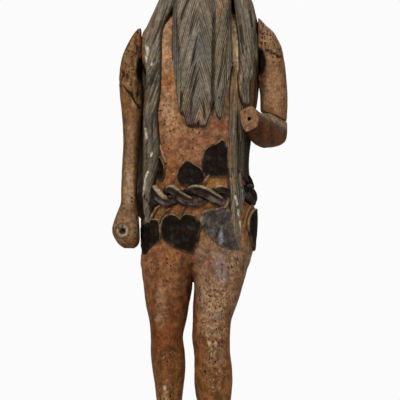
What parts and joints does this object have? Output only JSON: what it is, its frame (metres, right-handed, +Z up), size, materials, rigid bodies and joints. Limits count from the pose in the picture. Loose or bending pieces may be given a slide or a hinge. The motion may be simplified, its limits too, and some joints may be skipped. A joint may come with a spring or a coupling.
{
  "type": "carved wooden hermit figure",
  "caption": "Standing carved wooden hermit with hair to the thighs, long beard, leaf girdle, separate arms with lost hands, on a low base.",
  "frame": {"origin": "middle of the underside of the base", "axes": "+Z up, the figure faces -Y, +X is the figure's left"},
  "size_m": [0.2632, 0.16, 0.84],
  "materials": {
    "figure_wood": "old carved wood with worn, matt paint in flesh, grey hair and near-black leaves",
    "arm_wood": "old carved wood with worn, matt flesh paint and beetle holes",
    "base_wood": "dark, dull old wood"
  },
  "bodies": {
    "root": {"figure": "figure_wood", "right_arm": "arm_wood", "left_upper_arm": "arm_wood", "left_forearm": "arm_wood", "base": "base_wood"}
  },
  "joints": []
}
